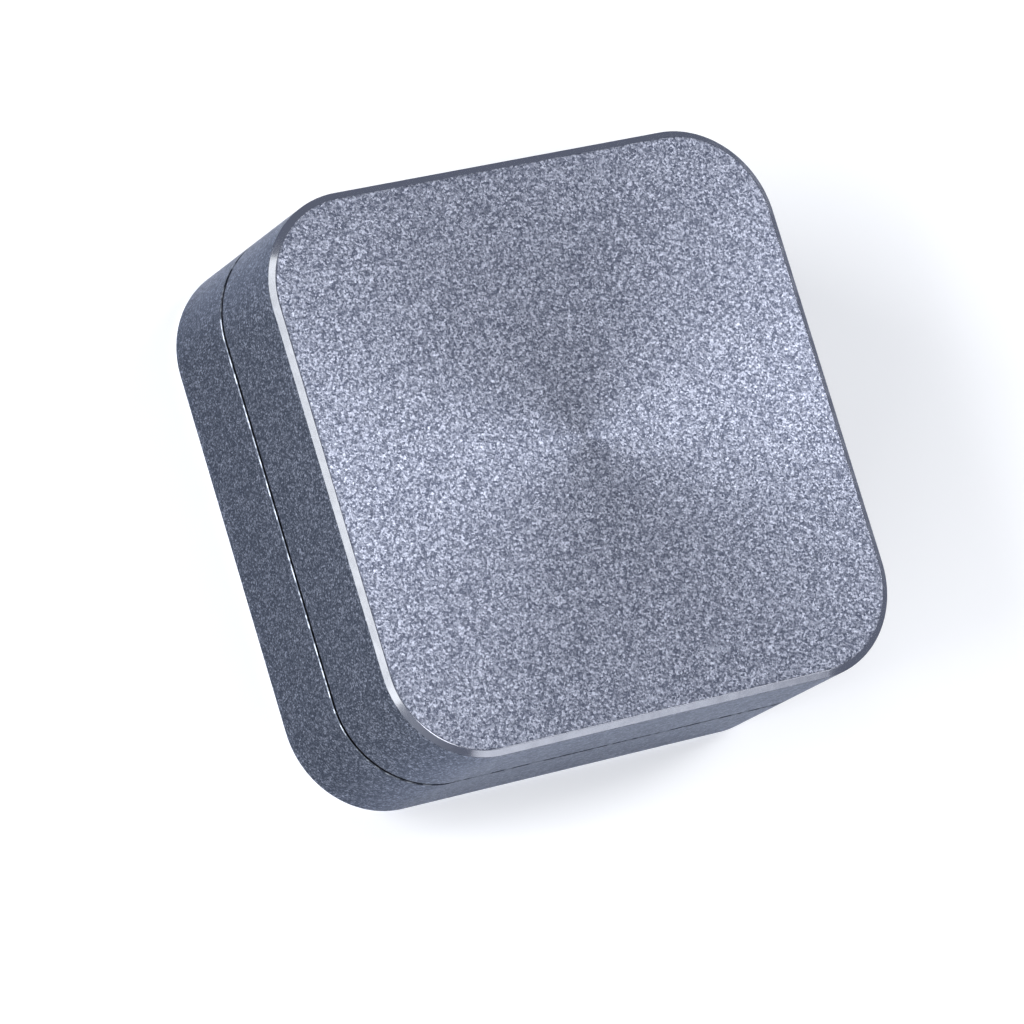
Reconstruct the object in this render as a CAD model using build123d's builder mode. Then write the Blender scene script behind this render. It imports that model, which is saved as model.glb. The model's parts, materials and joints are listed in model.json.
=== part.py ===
"""Two-half magnetic twist block, modelled lying flat: +Z is out of the front face.

The origin is the centre of the rear face, on the surface the block rests on. The two machined shells
are the same part, mouth to mouth. A ball bearing in the lower one carries a spindle, and the upper one
sits on the spindle's head through a brass cup. Rings of magnets pull the halves together.
"""
import os

from build123d import *

os.makedirs("parts", exist_ok=True)

# Whole block
WIDTH = 38.0
THICKNESS = 16.0
CORNER_R = 6.65
SEAM_GAP = 0.34
HALF_HEIGHT = (THICKNESS - SEAM_GAP) / 2

# Edges of a shell: the cut chamfer round the wide face, and the small break along the seam
FACE_CHAMFER_ACROSS = 0.45
FACE_CHAMFER_DOWN = 0.23
SEAM_BREAK = 0.06

# Clearances
FIT_GAP = 0.02       # between fixed pieces of one half
LIFT_FIT = 0.04      # round the spindle's head, which slides out of the cup
SEAT_GAP = 0.01      # under the upper half, where it rests on the spindle
PLATE_GAP = 0.05     # round a retainer plate

# Retainer plate, let in flush with the seam face
PLATE_WIDTH = 32.0
PLATE_CORNER_R = 4.0
PLATE_T = 0.9
PLATE_BORE_R = 4.3
SEAT_DEPTH = PLATE_T + FIT_GAP     # where magnets, bearing and cup begin, below the seam face

# Magnets
MAGNET_COUNT = 8
MAGNET_CIRCLE_R = 12.0
MAGNET_R = 2.5
MAGNET_LENGTH = 3.5
MAGNET_CHAMFER = 0.15
WINDOW_R = 2.1
FIRST_MAGNET_ANGLE = 180 / MAGNET_COUNT

# M2 countersunk screws that hold a plate
SCREW_PITCH = 25.6
SCREW_R = 1.0
SCREW_HEAD_R = 1.82
SCREW_SUNK = 0.04
SCREW_TIP_DEPTH = 4.2
SCREW_CLEAR_R = 1.1
COUNTERSINK_R = 1.9
SCREW_HOLE_DEPTH = 4.8
DRIVE_R = 0.75
DRIVE_DEPTH = 0.55

# Ball bearing, 4 x 10 x 4 mm
BEARING_R = 5.0
BEARING_BORE_R = 2.0
BEARING_WIDTH = 4.0
INNER_LAND_R = 2.95
OUTER_LAND_R = 4.05
PITCH_R = 3.5
BALL_COUNT = 7
BALL_R = 0.794
GROOVE_R = BALL_R + 0.026
POCKET_R = BALL_R + 0.04
CAGE_WALL = 0.5
CAGE_HEIGHT = 2.2
BEARING_MID_Z = HALF_HEIGHT - SEAT_DEPTH - BEARING_WIDTH / 2
BEARING_TOP_Z = BEARING_MID_Z + BEARING_WIDTH / 2
BEARING_BASE_Z = BEARING_MID_Z - BEARING_WIDTH / 2

# Relief under the bearing, for the clamp screw's head
RELIEF_R = 4.0
RELIEF_DEPTH = 6.4

# Spindle and what clamps it
SPINDLE_R = BEARING_BORE_R - SEAT_GAP
SHOULDER_R = 2.7
SHOULDER_HEIGHT = 0.2
HEAD_R = 3.0
HEAD_LEAD = 0.3
SOCKET_DEPTH = 3.6
SPINDLE_TOP_Z = THICKNESS - HALF_HEIGHT + SOCKET_DEPTH - SEAT_GAP
SPINDLE_STANDOFF = 0.1      # the journal ends this far above the bearing's lower face
SPINDLE_BASE_Z = BEARING_BASE_Z + SPINDLE_STANDOFF
SPINDLE_KEY_R = 1.15
SPINDLE_KEY_DEPTH = 1.4
CLAMP_HOLE_DEPTH = 3.4
WASHER_T = 0.3
CLAMP_SCREW_REACH = 3.1
CLAMP_HEAD_R = 1.9
CLAMP_HEAD_HEIGHT = 0.95

# Seam faces of the two halves. Each plane's normal points out of its own half.
LOWER_MOUTH = Plane(origin=(0, 0, HALF_HEIGHT), x_dir=(1, 0, 0), z_dir=(0, 0, 1))
UPPER_MOUTH = Plane(origin=(0, 0, THICKNESS - HALF_HEIGHT), x_dir=(1, 0, 0), z_dir=(0, 0, -1))


def save(builder, label):
    """Name a finished piece and write it as its own STEP file."""
    builder.part.label = label
    export_step(builder.part, f"parts/{label}.step")


def build_shell(mouth, label):
    """One machined half, open at its mouth plane."""
    with BuildPart(mouth) as shell:
        with BuildSketch(mouth):
            RectangleRounded(WIDTH, WIDTH, CORNER_R)
        extrude(amount=-HALF_HEIGHT)
        along = Axis(mouth.origin, mouth.z_dir)
        wide_face = shell.faces().sort_by(along)[0]
        seam_face = shell.faces().sort_by(along)[-1]
        chamfer(seam_face.edges(), SEAM_BREAK)
        chamfer(wide_face.edges(), FACE_CHAMFER_ACROSS, FACE_CHAMFER_DOWN, reference=wide_face)

        # Recess for the retainer plate
        with BuildSketch(mouth):
            RectangleRounded(
                PLATE_WIDTH + 2 * PLATE_GAP, PLATE_WIDTH + 2 * PLATE_GAP, PLATE_CORNER_R + PLATE_GAP
            )
        extrude(amount=-PLATE_T, mode=Mode.SUBTRACT)

        # Bore for the bearing or the cup, with the relief at its bottom
        Hole(RELIEF_R, RELIEF_DEPTH)
        Hole(BEARING_R + FIT_GAP, SEAT_DEPTH + BEARING_WIDTH)

        with PolarLocations(MAGNET_CIRCLE_R, MAGNET_COUNT, start_angle=FIRST_MAGNET_ANGLE):
            Hole(MAGNET_R + FIT_GAP, SEAT_DEPTH + MAGNET_LENGTH + FIT_GAP)
        with GridLocations(SCREW_PITCH, SCREW_PITCH, 2, 2):
            Hole(SCREW_R + FIT_GAP, SCREW_HOLE_DEPTH)
    save(shell, label)


def build_plate(mouth, label):
    """Retainer plate with a window over each magnet and countersunk holes at its corners."""
    with BuildPart(mouth) as plate:
        with BuildSketch(mouth):
            RectangleRounded(PLATE_WIDTH, PLATE_WIDTH, PLATE_CORNER_R)
            Circle(PLATE_BORE_R, mode=Mode.SUBTRACT)
            with PolarLocations(MAGNET_CIRCLE_R, MAGNET_COUNT, start_angle=FIRST_MAGNET_ANGLE):
                Circle(WINDOW_R, mode=Mode.SUBTRACT)
        extrude(amount=-PLATE_T)
        with GridLocations(SCREW_PITCH, SCREW_PITCH, 2, 2):
            CounterSinkHole(SCREW_CLEAR_R, COUNTERSINK_R, depth=PLATE_T, counter_sink_angle=90)
    save(plate, label)


def build_plate_screws(mouth, label):
    """The four countersunk screws of one plate."""
    cone_end = SCREW_SUNK + SCREW_HEAD_R - SCREW_R
    with BuildPart(mouth) as screws:
        with BuildSketch(mouth.offset(-SCREW_SUNK)):
            with GridLocations(SCREW_PITCH, SCREW_PITCH, 2, 2):
                Circle(SCREW_HEAD_R)
        extrude(amount=SCREW_SUNK - cone_end, taper=45)
        with BuildSketch(mouth.offset(-cone_end)):
            with GridLocations(SCREW_PITCH, SCREW_PITCH, 2, 2):
                Circle(SCREW_R)
        extrude(amount=cone_end - SCREW_TIP_DEPTH)
        with BuildSketch(mouth.offset(-SCREW_SUNK)):
            with GridLocations(SCREW_PITCH, SCREW_PITCH, 2, 2):
                RegularPolygon(DRIVE_R, 6)
        extrude(amount=-DRIVE_DEPTH, mode=Mode.SUBTRACT)
    save(screws, label)


def build_magnets(mouth, prefix):
    """The ring of disc magnets in one half, one node each."""
    for index in range(MAGNET_COUNT):
        angle = FIRST_MAGNET_ANGLE + index * 360 / MAGNET_COUNT
        with BuildPart() as magnet:
            with BuildSketch(mouth.offset(-SEAT_DEPTH)):
                with PolarLocations(MAGNET_CIRCLE_R, 1, start_angle=angle):
                    Circle(MAGNET_R)
            extrude(amount=-MAGNET_LENGTH)
            chamfer(magnet.edges().filter_by(GeomType.CIRCLE), MAGNET_CHAMFER)
        save(magnet, f"{prefix}_magnet_{index + 1}")


def build_race(inner_r, outer_r, label):
    """A bearing race: a ring with the ball groove cut in the side that faces the balls."""
    with BuildPart() as race:
        with BuildSketch(Plane.XZ):
            with Locations(((inner_r + outer_r) / 2, BEARING_MID_Z)):
                Rectangle(outer_r - inner_r, BEARING_WIDTH)
            with Locations((PITCH_R, BEARING_MID_Z)):
                Circle(GROOVE_R, mode=Mode.SUBTRACT)
        revolve(axis=Axis.Z)
    save(race, label)


def build_cage():
    """The ring that keeps the balls apart, with a round pocket for each."""
    mid_plane = Plane.XY.offset(BEARING_MID_Z)
    with BuildPart(mid_plane) as cage:
        with BuildSketch(mid_plane):
            Circle(PITCH_R + CAGE_WALL / 2)
            Circle(PITCH_R - CAGE_WALL / 2, mode=Mode.SUBTRACT)
        extrude(amount=CAGE_HEIGHT / 2, both=True)
        with PolarLocations(PITCH_R, BALL_COUNT):
            Cylinder(POCKET_R, 2 * CAGE_WALL, rotation=(0, 90, 0), mode=Mode.SUBTRACT)
    save(cage, "bearing_cage")


def build_balls():
    """The bearing's balls, one node each."""
    for index in range(BALL_COUNT):
        with BuildPart(Plane.XY.offset(BEARING_MID_Z)) as ball:
            with PolarLocations(PITCH_R, 1, start_angle=index * 360 / BALL_COUNT):
                Sphere(BALL_R)
        save(ball, f"bearing_ball_{index + 1}")


def build_spindle():
    """Turned pivot pin: journal, shoulder on the inner race, and the head that centres the upper half."""
    shoulder_top = BEARING_TOP_Z + SHOULDER_HEIGHT
    with BuildPart() as spindle:
        with BuildSketch(Plane.XZ):
            with BuildLine():
                Polyline(
                    (0, SPINDLE_BASE_Z),
                    (SPINDLE_R, SPINDLE_BASE_Z),
                    (SPINDLE_R, BEARING_TOP_Z),
                    (SHOULDER_R, BEARING_TOP_Z),
                    (SHOULDER_R, shoulder_top),
                    (HEAD_R, shoulder_top),
                    (HEAD_R, SPINDLE_TOP_Z - HEAD_LEAD),
                    (HEAD_R - HEAD_LEAD, SPINDLE_TOP_Z),
                    (0, SPINDLE_TOP_Z),
                    close=True,
                )
            make_face()
        revolve(axis=Axis.Z)

        # Tapped hole for the clamp screw, and the key socket in the head
        with BuildSketch(Plane.XY.offset(SPINDLE_BASE_Z)):
            Circle(SCREW_R + FIT_GAP)
        extrude(amount=CLAMP_HOLE_DEPTH, mode=Mode.SUBTRACT)
        with BuildSketch(Plane.XY.offset(SPINDLE_TOP_Z)):
            RegularPolygon(SPINDLE_KEY_R, 6)
        extrude(amount=-SPINDLE_KEY_DEPTH, mode=Mode.SUBTRACT)
    save(spindle, "spindle")


def build_clamp():
    """Washer and screw that clamp the inner race against the spindle's shoulder."""
    washer_base = BEARING_BASE_Z - WASHER_T
    with BuildPart() as washer:
        with BuildSketch(Plane.XY.offset(washer_base)):
            Circle(SHOULDER_R)
            Circle(SCREW_CLEAR_R, mode=Mode.SUBTRACT)
        extrude(amount=WASHER_T)
    save(washer, "clamp_washer")

    with BuildPart() as screw:
        with BuildSketch(Plane.XY.offset(washer_base)):
            Circle(CLAMP_HEAD_R)
        extrude(amount=-CLAMP_HEAD_HEIGHT)
        with BuildSketch(Plane.XY.offset(washer_base)):
            Circle(SCREW_R)
        extrude(amount=CLAMP_SCREW_REACH)
        with BuildSketch(Plane.XY.offset(washer_base - CLAMP_HEAD_HEIGHT)):
            RegularPolygon(DRIVE_R, 6)
        extrude(amount=DRIVE_DEPTH, mode=Mode.SUBTRACT)
    save(screw, "clamp_screw")


def build_socket_bush():
    """Brass cup in the upper half that turns with the spindle's head and lifts off it."""
    cup = UPPER_MOUTH.offset(-SEAT_DEPTH)
    bore_r = HEAD_R + LIFT_FIT
    with BuildPart(cup) as bush:
        with BuildSketch(cup):
            Circle(BEARING_R)
        extrude(amount=-BEARING_WIDTH)
        Hole(bore_r, SOCKET_DEPTH - SEAT_DEPTH)
        mouth_edges = bush.edges().filter_by(GeomType.CIRCLE).filter_by(lambda edge: edge.radius < BEARING_R)
        chamfer(mouth_edges.sort_by(Axis.Z)[0], HEAD_LEAD)
    save(bush, "socket_bush")


for mouth_plane, half in ((LOWER_MOUTH, "lower"), (UPPER_MOUTH, "upper")):
    build_shell(mouth_plane, f"{half}_shell")
    build_plate(mouth_plane, f"{half}_plate")
    build_plate_screws(mouth_plane, f"{half}_screws")
    build_magnets(mouth_plane, half)

build_race(BEARING_BORE_R, INNER_LAND_R, "bearing_inner_race")
build_race(OUTER_LAND_R, BEARING_R, "bearing_outer_race")
build_cage()
build_balls()
build_spindle()
build_clamp()
build_socket_bush()
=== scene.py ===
"""Looks for the two-half magnetic twist block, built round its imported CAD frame.

The two machined shells are rebuilt here with rounded edges, a cut bright chamfer and a blasted grain.
Every other piece keeps its CAD mesh and gets a better material.
"""
import json
import math

import bmesh
import bpy
from mathutils import Matrix, Vector


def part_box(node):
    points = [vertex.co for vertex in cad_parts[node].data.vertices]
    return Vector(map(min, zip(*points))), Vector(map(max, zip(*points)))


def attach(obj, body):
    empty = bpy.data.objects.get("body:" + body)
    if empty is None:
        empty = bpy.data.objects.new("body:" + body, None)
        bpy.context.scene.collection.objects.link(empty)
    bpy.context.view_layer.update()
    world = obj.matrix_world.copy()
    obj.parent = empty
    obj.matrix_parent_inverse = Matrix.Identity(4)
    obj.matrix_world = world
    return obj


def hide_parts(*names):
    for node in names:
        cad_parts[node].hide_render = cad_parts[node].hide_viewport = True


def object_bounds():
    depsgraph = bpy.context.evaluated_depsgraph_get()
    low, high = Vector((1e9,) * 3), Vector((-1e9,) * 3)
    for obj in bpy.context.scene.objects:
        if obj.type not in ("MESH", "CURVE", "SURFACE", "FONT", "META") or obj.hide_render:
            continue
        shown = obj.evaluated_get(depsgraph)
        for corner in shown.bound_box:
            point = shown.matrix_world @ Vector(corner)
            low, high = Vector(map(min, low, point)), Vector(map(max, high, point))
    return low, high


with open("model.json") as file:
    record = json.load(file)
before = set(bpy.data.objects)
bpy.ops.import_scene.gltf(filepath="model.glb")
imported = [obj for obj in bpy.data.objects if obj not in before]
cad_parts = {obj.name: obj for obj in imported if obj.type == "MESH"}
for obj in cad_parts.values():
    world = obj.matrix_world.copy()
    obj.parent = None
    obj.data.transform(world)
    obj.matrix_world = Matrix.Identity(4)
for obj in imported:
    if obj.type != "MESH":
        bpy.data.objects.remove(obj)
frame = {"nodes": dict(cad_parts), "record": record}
cad_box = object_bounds()

MM = 0.001
WIDTH = cad_box[1].x - cad_box[0].x
LOWER_SEAM_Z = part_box("lower_shell")[1].z
UPPER_SEAM_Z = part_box("upper_shell")[0].z
SHELL_HEIGHT = LOWER_SEAM_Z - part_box("lower_shell")[0].z
MAGNET_COUNT = 8

# Shell sizes that the node boxes don't give: the same as in the CAD source
CORNER_R = 6.65 * MM
FACE_CHAMFER_ACROSS = 0.45 * MM
FACE_CHAMFER_DOWN = 0.23 * MM
SEAM_BREAK = 0.06 * MM
PLATE_GAP = 0.05 * MM
PLATE_CORNER_R = 4.0 * MM
FIT_GAP = 0.02 * MM
BEARING_R = 5.0 * MM
RELIEF_R = 4.0 * MM
RELIEF_DEPTH = 6.4 * MM
MAGNET_CIRCLE_R = 12.0 * MM
MAGNET_R = 2.5 * MM
SCREW_PITCH = 25.6 * MM
SCREW_R = 1.0 * MM
SCREW_HOLE_DEPTH = 4.8 * MM

# Small rounds that only the visible shells have
FACE_EDGE_ROUND = 0.35 * MM
WALL_EDGE_ROUND = 0.03 * MM

# Mesh fineness
CORNER_STEPS = 40
SIDE_STEPS = 12
ROUND_STEPS = 4
HOLE_STEPS = 48
SHARP_ANGLE = math.radians(35)


# ---------------------------------------------------------------- camera, lights and floor

def direction(azimuth, elevation):
    """Unit vector at an azimuth, counter-clockwise from +X, and an elevation, both in degrees."""
    a = math.radians(azimuth)
    e = math.radians(elevation)
    return Vector((math.cos(e) * math.cos(a), math.cos(e) * math.sin(a), math.sin(e)))


def make_camera():
    """A long lens high over the block's -X side, rolled so that the square leans as in the photograph."""
    back = direction(-163.2, 60.1)
    roll = math.radians(-58.5)
    distance = 403.2 * MM
    aim = Vector((-1.65 * MM, -2.31 * MM, 6.7 * MM))

    data = bpy.data.cameras.new("camera")
    data.lens = 214.8
    data.sensor_width = 36.0
    data.clip_start = 0.01
    data.clip_end = 20.0
    camera = bpy.data.objects.new("camera", data)
    bpy.context.scene.collection.objects.link(camera)
    upright = (-back).to_track_quat("-Z", "Y").to_matrix()
    camera.matrix_world = (
        Matrix.Translation(aim + back * distance)
        @ upright.to_4x4()
        @ Matrix.Rotation(-roll, 4, "Z")
    )
    bpy.context.scene.camera = camera


def make_tent():
    """A world that lights the block like a dim tent, paler on the camera's side, and looks white itself."""
    pale_side = direction(-150, 0)
    world = bpy.data.worlds.new("tent")
    world.use_nodes = True
    tree = world.node_tree
    place = tree.nodes.new("ShaderNodeTexCoord")
    toward = tree.nodes.new("ShaderNodeVectorMath")
    toward.operation = "DOT_PRODUCT"
    toward.inputs[1].default_value = pale_side
    shade = tree.nodes.new("ShaderNodeValToRGB")
    shade.color_ramp.elements[0].position = 0.3
    shade.color_ramp.elements[0].color = (0.135, 0.145, 0.18, 1.0)
    shade.color_ramp.elements[1].position = 1.0
    shade.color_ramp.elements[1].color = (0.58, 0.60, 0.64, 1.0)
    path = tree.nodes.new("ShaderNodeLightPath")
    backdrop = tree.nodes.new("ShaderNodeMix")
    backdrop.data_type = "RGBA"
    backdrop.inputs["B"].default_value = (0.95, 0.95, 0.96, 1.0)
    tree.links.new(place.outputs["Generated"], toward.inputs[0])
    tree.links.new(toward.outputs["Value"], shade.inputs["Fac"])
    tree.links.new(path.outputs["Is Camera Ray"], backdrop.inputs["Factor"])
    tree.links.new(shade.outputs["Color"], backdrop.inputs["A"])
    tree.links.new(backdrop.outputs["Result"], tree.nodes["Background"].inputs["Color"])
    bpy.context.scene.world = world
    bpy.context.scene.view_settings.view_transform = "Standard"


def softbox(
    name, azimuth, elevation, width, height, radiance, distance=0.6, turn=0.0, colour=(1.0, 1.0, 1.0)
):
    """A rectangular area light that faces the block. Its width is level before it is turned, in degrees."""
    data = bpy.data.lights.new(name, "AREA")
    data.shape = "RECTANGLE"
    data.size = width
    data.size_y = height
    data.energy = radiance * width * height * math.pi
    data.color = colour
    light = bpy.data.objects.new(name, data)
    bpy.context.scene.collection.objects.link(light)
    toward = direction(azimuth, elevation)
    facing = toward.to_track_quat("Z", "Y").to_matrix().to_4x4()
    light.matrix_world = (
        Matrix.Translation(toward * distance) @ facing @ Matrix.Rotation(math.radians(turn), 4, "Z")
    )


def make_lights():
    # The key makes the fans of light on the wide face
    softbox("key", 16, 53, 0.24, 0.88, 9.2, distance=1.2, turn=-14)

    # Weak panels that show in the chamfers and their rounded edges
    softbox("camera_panel", 147, 64, 0.53, 0.14, 1.04, turn=26, colour=(1.0, 1.0, 0.93))
    softbox("near_panel", -61, 43, 0.22, 0.14, 0.60, turn=-38)
    softbox("rim_spot", -82, 72, 0.15, 0.15, 2.0)
    softbox("edge_panel", -27, 57, 0.28, 0.10, 0.9, turn=30)

    # Low fills for the walls that face the camera, and for the floor there, where the key leaves a shadow
    for index, (azimuth, radiance) in enumerate(((168, 8.4), (-152, 3.4), (-112, 0.9))):
        softbox(f"low_fill_{index + 1}", azimuth, 27, 0.58, 0.38, radiance, distance=0.8)


def make_floor():
    """A pale floor that glows softly, like a light table, so that shadows on it stay faint."""
    bpy.ops.mesh.primitive_plane_add(size=4.0)
    floor = bpy.context.object
    floor.name = "floor"
    material, shader = new_material("floor_paper", metallic=0.0)
    shader.inputs["Base Color"].default_value = (0.86, 0.87, 0.89, 1.0)
    shader.inputs["Roughness"].default_value = 0.9
    shader.inputs["Emission Color"].default_value = (0.97, 0.98, 1.0, 1.0)
    shader.inputs["Emission Strength"].default_value = 0.25
    floor.data.materials.append(material)


# ---------------------------------------------------------------- material tools

def new_material(name, metallic=1.0):
    """A material with only a Principled shader, and that shader."""
    material = bpy.data.materials.new(name)
    material.use_nodes = True
    shader = material.node_tree.nodes["Principled BSDF"]
    shader.inputs["Metallic"].default_value = metallic
    return material, shader


def add(material, kind, **settings):
    """Add a node and set its properties."""
    node = material.node_tree.nodes.new(kind)
    for key, value in settings.items():
        setattr(node, key, value)
    return node


def link(material, out_socket, in_socket):
    material.node_tree.links.new(out_socket, in_socket)


def stretched_place(material, stretch):
    """The piece's own coordinates, scaled along each axis."""
    place = add(material, "ShaderNodeTexCoord")
    mapping = add(material, "ShaderNodeMapping")
    mapping.inputs["Scale"].default_value = stretch
    link(material, place.outputs["Object"], mapping.inputs["Vector"])
    return mapping.outputs["Vector"]


def noise(material, scale, detail=2.0, roughness=0.5, stretch=(1.0, 1.0, 1.0)):
    """Noise with a scale in cells per metre."""
    texture = add(material, "ShaderNodeTexNoise")
    texture.inputs["Scale"].default_value = scale
    texture.inputs["Detail"].default_value = detail
    texture.inputs["Roughness"].default_value = roughness
    link(material, stretched_place(material, stretch), texture.inputs["Vector"])
    return texture.outputs["Fac"]


def spread(material, factor, low, high, start=0.3, end=0.7):
    """Map a factor's range from start to end onto the range from low to high."""
    node = add(material, "ShaderNodeMapRange")
    node.inputs["From Min"].default_value = start
    node.inputs["From Max"].default_value = end
    node.inputs["To Min"].default_value = low
    node.inputs["To Max"].default_value = high
    link(material, factor, node.inputs["Value"])
    return node.outputs["Result"]


def tint(material, factor, dark, light, start=0.3, end=0.7):
    """Colour that runs from dark to light as a factor goes from start to end."""
    node = add(material, "ShaderNodeValToRGB")
    node.color_ramp.elements[0].position = start
    node.color_ramp.elements[0].color = (*dark, 1.0)
    node.color_ramp.elements[1].position = end
    node.color_ramp.elements[1].color = (*light, 1.0)
    link(material, factor, node.inputs["Fac"])
    return node.outputs["Color"]


def bump(material, height, strength, distance):
    node = add(material, "ShaderNodeBump")
    node.inputs["Strength"].default_value = strength
    node.inputs["Distance"].default_value = distance
    link(material, height, node.inputs["Height"])
    return node.outputs["Normal"]


def speckle(material, scale, contrast, stretch=(1.0, 1.0, 1.0)):
    """Blasted grain as a factor from 0 to 1. It mixes the random values of two sizes of dent.

    A higher contrast leaves fewer bright dents.
    """
    fine_scale = 1.45 * scale
    fine_share = 0.4
    place = stretched_place(material, stretch)
    layers = []
    for layer_scale in (scale, fine_scale):
        dents = add(material, "ShaderNodeTexVoronoi", feature="F1")
        dents.inputs["Scale"].default_value = layer_scale
        link(material, place, dents.inputs["Vector"])
        split = add(material, "ShaderNodeSeparateColor")
        link(material, dents.outputs["Color"], split.inputs["Color"])
        layers.append(split.outputs["Red"])
    blend = add(material, "ShaderNodeMix", data_type="FLOAT")
    blend.inputs["Factor"].default_value = fine_share
    link(material, layers[0], blend.inputs["A"])
    link(material, layers[1], blend.inputs["B"])
    power = add(material, "ShaderNodeMath", operation="POWER")
    power.inputs[1].default_value = contrast
    link(material, blend.outputs["Result"], power.inputs[0])
    return power.outputs["Value"]


def from_axis(material, at_centre, at_edge):
    """A value that runs from the block's axis to its side walls."""
    place = add(material, "ShaderNodeTexCoord")
    flat = add(material, "ShaderNodeVectorMath", operation="MULTIPLY")
    flat.inputs[1].default_value = (1.0, 1.0, 0.0)
    length = add(material, "ShaderNodeVectorMath", operation="LENGTH")
    link(material, place.outputs["Object"], flat.inputs[0])
    link(material, flat.outputs["Vector"], length.inputs[0])
    return spread(material, length.outputs["Value"], at_centre, at_edge, start=0.0, end=WIDTH / 2)


def finish_surface(material, shader, colour, roughness, normal):
    """Join the three sockets that every textured material here drives."""
    link(material, colour, shader.inputs["Base Color"])
    link(material, roughness, shader.inputs["Roughness"])
    link(material, normal, shader.inputs["Normal"])


# ---------------------------------------------------------------- shell materials

def blasted_face():
    """Grey anodised face: bead-blasted grain over circular facing marks, with painted light that makes it
    darker at its centre and a little paler towards its edge.
    """
    material, shader = new_material("blasted_face")
    shader.inputs["Anisotropic"].default_value = 0.9
    shader.inputs["Anisotropic Rotation"].default_value = 0.25
    grain = speckle(material, scale=7300.0, contrast=2.1)
    colour = tint(material, grain, (0.040, 0.046, 0.068), (0.318, 0.338, 0.408), start=0.0, end=1.0)
    # Painted light: the grain's colour is darkened at the face's centre and made paler towards its edge
    painted_light_gradient = add(material, "ShaderNodeHueSaturation")
    link(material, colour, painted_light_gradient.inputs["Color"])
    link(material, from_axis(material, 0.92, 1.10), painted_light_gradient.inputs["Value"])
    finish_surface(
        material,
        shader,
        painted_light_gradient.outputs["Color"],
        spread(material, noise(material, 3000.0), 0.32, 0.40),
        bump(material, noise(material, 6500.0, detail=1.0), strength=0.6, distance=0.03 * MM),
    )
    tangent = add(material, "ShaderNodeTangent", direction_type="RADIAL", axis="Z")
    link(material, tangent.outputs["Tangent"], shader.inputs["Tangent"])
    return material


def blasted_wall():
    """The same metal on the side walls. Its grain is finer and shallower, with fewer bright dents."""
    material, shader = new_material("blasted_wall")
    shader.inputs["Specular Tint"].default_value = (0.72, 0.77, 0.90, 1.0)
    grain = speckle(material, scale=9000.0, contrast=3.0, stretch=(1.0, 1.0, 0.65))
    finish_surface(
        material,
        shader,
        tint(material, grain, (0.032, 0.038, 0.052), (0.32, 0.345, 0.415), start=0.0, end=1.0),
        spread(material, noise(material, 2500.0), 0.34, 0.44),
        bump(material, noise(material, 6500.0, detail=1.0), strength=0.4, distance=0.03 * MM),
    )
    return material


def worn_break():
    """The small break along the seam, where handling has worn the anodising through in places."""
    material, shader = new_material("worn_break")
    patches = noise(material, 1400.0, detail=2.0, roughness=0.6)
    finish_surface(
        material,
        shader,
        tint(material, patches, (0.045, 0.052, 0.068), (0.25, 0.275, 0.32), start=0.45, end=0.60),
        spread(material, patches, 0.30, 0.42),
        bump(material, noise(material, 4000.0), strength=0.2, distance=0.02 * MM),
    )
    return material


def cut_edge():
    """Bright bare aluminium where a tool cut the chamfers after anodising."""
    material, shader = new_material("cut_edge")
    shader.inputs["Base Color"].default_value = (0.74, 0.77, 0.87, 1.0)
    streaks = noise(material, 900.0, detail=3.0, roughness=0.6)
    link(material, spread(material, streaks, 0.11, 0.19), shader.inputs["Roughness"])
    link(material, bump(material, streaks, strength=0.25, distance=0.02 * MM), shader.inputs["Normal"])
    return material


def milled_inside():
    """Machined and anodised aluminium inside the shells."""
    material, shader = new_material("milled_inside")
    marks = noise(material, 5000.0, detail=3.0, roughness=0.6)
    finish_surface(
        material,
        shader,
        tint(material, marks, (0.10, 0.11, 0.135), (0.17, 0.185, 0.22)),
        spread(material, marks, 0.28, 0.42),
        bump(material, marks, strength=0.25, distance=0.02 * MM),
    )
    return material


# ---------------------------------------------------------------- materials of the pieces inside

def brushed_plate():
    """Stainless plate brushed in one direction."""
    material, shader = new_material("brushed_plate")
    shader.inputs["Anisotropic"].default_value = 0.4
    lines = noise(material, 700.0, detail=4.0, roughness=0.6, stretch=(0.25, 18.0, 1.0))
    finish_surface(
        material,
        shader,
        tint(material, lines, (0.50, 0.51, 0.53), (0.68, 0.69, 0.71)),
        spread(material, lines, 0.24, 0.38),
        bump(material, lines, strength=0.25, distance=0.01 * MM),
    )
    return material


def plain_metal(name, dark, light, gloss, scale, depth, stretch=(1.0, 1.0, 1.0)):
    """A metal with fine variation of colour, roughness and surface. gloss is its roughness range."""
    material, shader = new_material(name)
    marks = noise(material, scale, detail=3.0, roughness=0.55, stretch=stretch)
    finish_surface(
        material,
        shader,
        tint(material, marks, dark, light),
        spread(material, marks, *gloss),
        bump(material, marks, strength=0.2, distance=depth),
    )
    return material


def nylon():
    """Natural nylon of the bearing cage."""
    material, shader = new_material("cage_nylon", metallic=0.0)
    shader.inputs["Subsurface Weight"].default_value = 0.1
    shader.inputs["Subsurface Radius"].default_value = (1.0 * MM, 0.8 * MM, 0.6 * MM)
    cloud = noise(material, 1500.0, detail=2.0, roughness=0.5)
    finish_surface(
        material,
        shader,
        tint(material, cloud, (0.70, 0.65, 0.52), (0.80, 0.76, 0.64)),
        spread(material, cloud, 0.42, 0.55),
        bump(material, cloud, strength=0.15, distance=0.02 * MM),
    )
    return material


# ---------------------------------------------------------------- outlines and profiles

def corner_angles():
    return [step / CORNER_STEPS * math.pi / 2 for step in range(CORNER_STEPS)]


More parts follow.
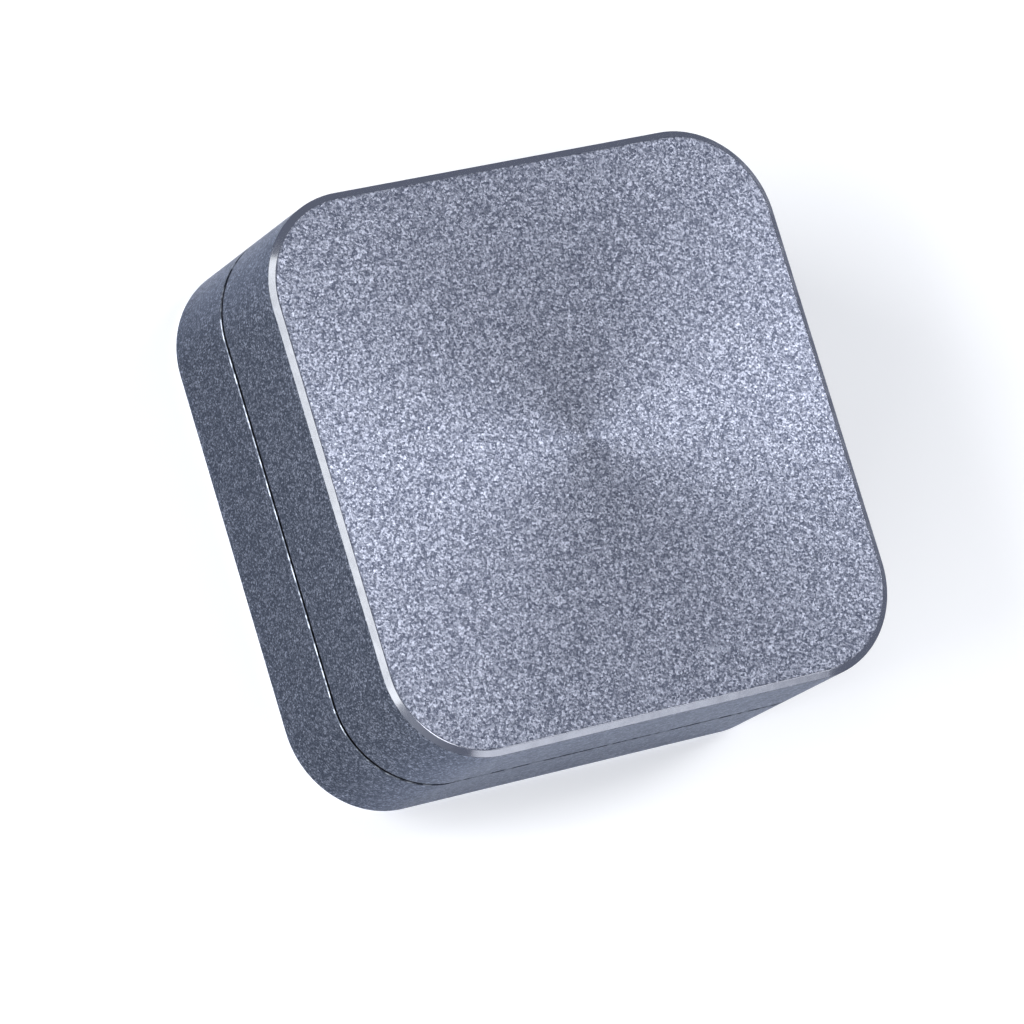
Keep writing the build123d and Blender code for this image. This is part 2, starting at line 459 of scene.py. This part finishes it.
def rounded_square(inset, outline_r=CORNER_R, half=WIDTH / 2):
    """Points of a rounded square, inset from its outline, counter-clockwise from the +X side."""
    points = []
    radius = outline_r - inset
    straight = half - outline_r
    for corner in range(4):
        turn = Matrix.Rotation(corner * math.pi / 2, 2)
        for step in range(SIDE_STEPS):
            along = -straight + 2 * straight * step / SIDE_STEPS
            points.append(turn @ Vector((half - inset, along)))
        for angle in corner_angles():
            arc_point = (straight + radius * math.cos(angle), straight + radius * math.sin(angle))
            points.append(turn @ Vector(arc_point))
    return points


def rounded_square_normals():
    """The outward direction at each point of rounded_square."""
    ways = []
    for corner in range(4):
        turn = Matrix.Rotation(corner * math.pi / 2, 2)
        ways += [turn @ Vector((1.0, 0.0))] * SIDE_STEPS
        ways += [turn @ Vector((math.cos(angle), math.sin(angle))) for angle in corner_angles()]
    return ways


def circle(x, y, radius):
    """Points of a hole's edge."""
    angles = [2 * math.pi * step / HOLE_STEPS for step in range(HOLE_STEPS)]
    return [Vector((x + radius * math.cos(angle), y + radius * math.sin(angle))) for angle in angles]


def arc_between(start, corner, end, radius):
    """Points that round a corner of a profile with a small arc, and the arc's outward normals there."""
    corner = Vector(corner)
    before = (Vector(start) - corner).normalized()
    after = (Vector(end) - corner).normalized()
    half_angle = before.angle(after) / 2
    reach = radius / math.tan(half_angle)
    centre = corner + (before + after).normalized() * (radius / math.sin(half_angle))
    first = corner + before * reach - centre
    last = corner + after * reach - centre
    sweep = first.angle_signed(last)
    spokes = [Matrix.Rotation(-sweep * step / ROUND_STEPS, 2) @ first for step in range(ROUND_STEPS + 1)]
    return [(centre + spoke, spoke.normalized()) for spoke in spokes]


def skin_profile():
    """Profile of a shell's outside, face to seam, as (point, normal, material).

    A point is (inset, distance from the seam face). The material is that of the band that starts there.
    """
    well_in = 1.0 * MM
    face = (well_in, SHELL_HEIGHT)
    face_edge = (FACE_CHAMFER_ACROSS, SHELL_HEIGHT)
    wall_top = (0.0, SHELL_HEIGHT - FACE_CHAMFER_DOWN)
    wall_end = (0.0, SEAM_BREAK)
    rim = (SEAM_BREAK, 0.0)
    rim_inner = (well_in, 0.0)
    profile = []
    for start, corner, end, radius, first_half, beyond in (
        (face, face_edge, wall_top, FACE_EDGE_ROUND, "face", "cut"),
        (face_edge, wall_top, wall_end, WALL_EDGE_ROUND, "wall", "wall"),
        (wall_top, wall_end, rim, WALL_EDGE_ROUND, "break", "break"),
        (wall_end, rim, rim_inner, WALL_EDGE_ROUND, "break", "inside"),
    ):
        for index, (point, normal) in enumerate(arc_between(start, corner, end, radius)):
            profile.append((point, normal, first_half if index < ROUND_STEPS / 2 else beyond))
    return profile


# ---------------------------------------------------------------- shells

MATERIAL_ORDER = ("face", "wall", "cut", "break", "inside")


class ShellMesh:
    """A shell's mesh in the making. Distances are measured into the shell from its seam face.

    outward is +1 if the shell's wide face is above its seam, or -1 if it is below.
    """

    def __init__(self, seam_z, outward):
        self.mesh = bmesh.new()
        self.seam_z = seam_z
        self.outward = outward

    def ring(self, points, distance):
        """A loop of vertices at a distance from the seam face."""
        z = self.seam_z + self.outward * distance
        return [self.mesh.verts.new((point.x, point.y, z)) for point in points]

    def bridge(self, first, second, kind):
        """Join two rings. Winding is settled at the end by recalculating normals."""
        count = len(first)
        for i in range(count):
            after = (i + 1) % count
            band = self.mesh.faces.new((first[i], first[after], second[after], second[i]))
            band.material_index = MATERIAL_ORDER.index(kind)
            band.smooth = True

    def cap(self, loop, kind):
        self.mesh.faces.new(loop).material_index = MATERIAL_ORDER.index(kind)

    def fill_between(self, loops, kind):
        """Fill the flat floor inside the first loop and round the others."""
        edges = [self.mesh.edges.get((loop[i - 1], loop[i])) for loop in loops for i in range(len(loop))]
        for element in bmesh.ops.triangle_fill(self.mesh, use_beauty=True, edges=edges)["geom"]:
            if isinstance(element, bmesh.types.BMFace):
                element.material_index = MATERIAL_ORDER.index(kind)

    def to_data(self, name, normals):
        """The finished mesh. Its first vertices take the normals given, and the others automatic ones."""
        bmesh.ops.recalc_face_normals(self.mesh, faces=self.mesh.faces)
        data = bpy.data.meshes.new(name)
        self.mesh.to_mesh(data)
        self.mesh.free()
        data.set_sharp_from_angle(angle=SHARP_ANGLE)
        automatic = (0.0, 0.0, 0.0)
        corners = [loop.vertex_index for loop in data.loops]
        data.normals_split_custom_set([
            normals[index] if index < len(normals) else automatic for index in corners
        ])
        return data


def add_skin(shell):
    """The wide face, chamfer, wall and seam edge. Returns the last ring and the skin's normals."""
    profile = skin_profile()
    ways = rounded_square_normals()
    rings = [shell.ring(rounded_square(point.x), point.y) for point, _, _ in profile]
    normals = [
        (-normal.x * way.x, -normal.x * way.y, shell.outward * normal.y)
        for _, normal, _ in profile
        for way in ways
    ]
    shell.cap(rings[0], "face")
    for index in range(len(rings) - 1):
        shell.bridge(rings[index], rings[index + 1], profile[index][2])
    return rings[-1], normals


def hole_list(pocket_depth):
    """(x, y, radius, depth) of every magnet pocket and screw hole."""
    holes = []
    for index in range(MAGNET_COUNT):
        angle = (index + 0.5) * 2 * math.pi / MAGNET_COUNT
        centre = (MAGNET_CIRCLE_R * math.cos(angle), MAGNET_CIRCLE_R * math.sin(angle))
        holes.append((*centre, MAGNET_R + FIT_GAP, pocket_depth))
    for x in (-SCREW_PITCH / 2, SCREW_PITCH / 2):
        for y in (-SCREW_PITCH / 2, SCREW_PITCH / 2):
            holes.append((x, y, SCREW_R + FIT_GAP, SCREW_HOLE_DEPTH))
    return holes


def add_inside(shell, rim):
    """The plate recess inside the rim, and the pockets, holes and bore in the recess floor."""
    plate_low, plate_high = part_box("lower_plate")
    plate_half = (plate_high.x - plate_low.x) / 2 + PLATE_GAP
    recess_depth = plate_high.z - plate_low.z
    pocket_depth = LOWER_SEAM_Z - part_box("lower_magnet_1")[0].z + FIT_GAP
    bore_depth = LOWER_SEAM_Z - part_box("bearing_outer_race")[0].z

    outline = rounded_square(0.0, PLATE_CORNER_R + PLATE_GAP, plate_half)
    recess_mouth = shell.ring(outline, 0.0)
    recess_floor = shell.ring(outline, recess_depth)
    shell.bridge(rim, recess_mouth, "inside")
    shell.bridge(recess_mouth, recess_floor, "inside")

    floor_loops = [recess_floor]
    for x, y, radius, depth in hole_list(pocket_depth):
        mouth = shell.ring(circle(x, y, radius), recess_depth)
        bottom = shell.ring(circle(x, y, radius), depth)
        shell.bridge(mouth, bottom, "inside")
        shell.cap(bottom, "inside")
        floor_loops.append(mouth)

    bore = circle(0.0, 0.0, BEARING_R + FIT_GAP)
    relief = circle(0.0, 0.0, RELIEF_R)
    steps = [
        shell.ring(bore, recess_depth),
        shell.ring(bore, bore_depth),
        shell.ring(relief, bore_depth),
        shell.ring(relief, RELIEF_DEPTH),
    ]
    for first, second in zip(steps, steps[1:]):
        shell.bridge(first, second, "inside")
    shell.cap(steps[-1], "inside")
    floor_loops.append(steps[0])
    shell.fill_between(floor_loops, "inside")


def build_shell(name, node, body, seam_z, outward, materials):
    """One visible shell, which stands for its CAD node."""
    shell = ShellMesh(seam_z, outward)
    rim, normals = add_skin(shell)
    add_inside(shell, rim)
    data = shell.to_data(name, normals)
    for kind in MATERIAL_ORDER:
        data.materials.append(materials[kind])
    piece = bpy.data.objects.new(name, data)
    bpy.context.scene.collection.objects.link(piece)
    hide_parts(node)
    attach(piece, body)


def build_shells():
    materials = {
        "face": blasted_face(),
        "wall": blasted_wall(),
        "cut": cut_edge(),
        "break": worn_break(),
        "inside": milled_inside(),
    }
    build_shell("lower_shell_skin", "lower_shell", "lower_half", LOWER_SEAM_Z, -1, materials)
    build_shell("upper_shell_skin", "upper_shell", "upper_half", UPPER_SEAM_Z, 1, materials)


# ---------------------------------------------------------------- carried-over CAD pieces

def slot_looks():
    """The material for each of the record's slots, apart from the shells'."""
    round_marks = (0.1, 0.1, 5.0)
    screw_dark = plain_metal(
        "screw_dark", (0.17, 0.175, 0.185), (0.26, 0.265, 0.28), (0.28, 0.40), 4000.0, 0.005 * MM
    )
    nickel = plain_metal(
        "nickel_plating", (0.56, 0.54, 0.50), (0.66, 0.64, 0.59), (0.24, 0.34), 2200.0, 0.003 * MM
    )
    ground_steel = plain_metal(
        "bearing_steel", (0.60, 0.61, 0.63), (0.70, 0.71, 0.73), (0.08, 0.16), 2600.0, 0.005 * MM
    )
    turned_steel = plain_metal(
        "turned_steel", (0.52, 0.53, 0.55), (0.66, 0.67, 0.69), (0.20, 0.32), 2000.0, 0.01 * MM, round_marks
    )
    turned_brass = plain_metal(
        "turned_brass", (0.62, 0.43, 0.17), (0.80, 0.60, 0.28), (0.20, 0.34), 2000.0, 0.01 * MM, round_marks
    )
    return {
        "plate_steel": brushed_plate(),
        "screw_steel": screw_dark,
        "magnet_plating": nickel,
        "bearing_steel": ground_steel,
        "spindle_steel": turned_steel,
        "bush_brass": turned_brass,
        "cage_plastic": nylon(),
    }


def dress_cad_nodes():
    """Give each shown CAD node the material of its record slot."""
    looks = slot_looks()
    slots = {part["node"]: part["material_slot"] for part in frame["record"]["subparts"]}
    for node, piece in frame["nodes"].items():
        if slots[node] in looks:
            piece.material_slots[0].material = looks[slots[node]]


make_camera()
make_tent()
make_lights()
make_floor()
build_shells()
dress_cad_nodes()
